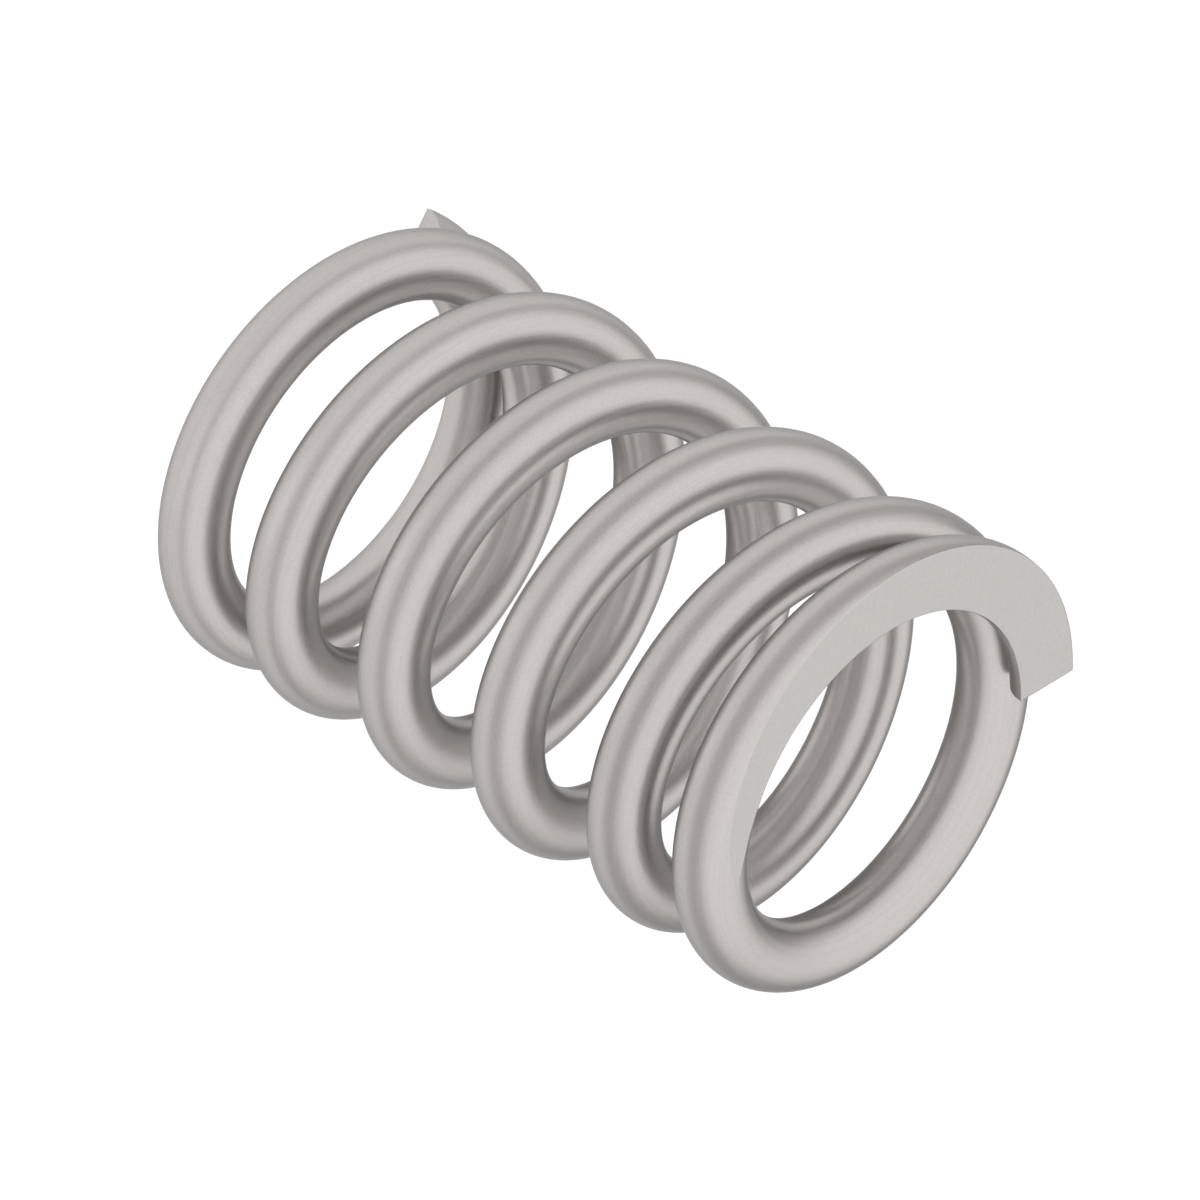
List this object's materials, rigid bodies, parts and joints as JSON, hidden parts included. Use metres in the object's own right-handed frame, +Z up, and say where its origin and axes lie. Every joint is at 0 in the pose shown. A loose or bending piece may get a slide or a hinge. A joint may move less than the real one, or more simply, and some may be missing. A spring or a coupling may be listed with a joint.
{
  "type": "compression spring",
  "caption": "Left-hand helical compression spring of round steel wire, with closed and ground ends.",
  "frame": {"origin": "on the coil's axis, in the plane of the lower ground face", "axes": "+Z up the coil's axis to the upper ground face; +X through the wire's tip at the lower end"},
  "size_m": [0.031, 0.031, 0.0503],
  "materials": {
    "spring_steel": "satin drawn wire, with finely ground flat ends"
  },
  "bodies": {
    "root": {"compression_spring": "spring_steel"}
  },
  "joints": []
}
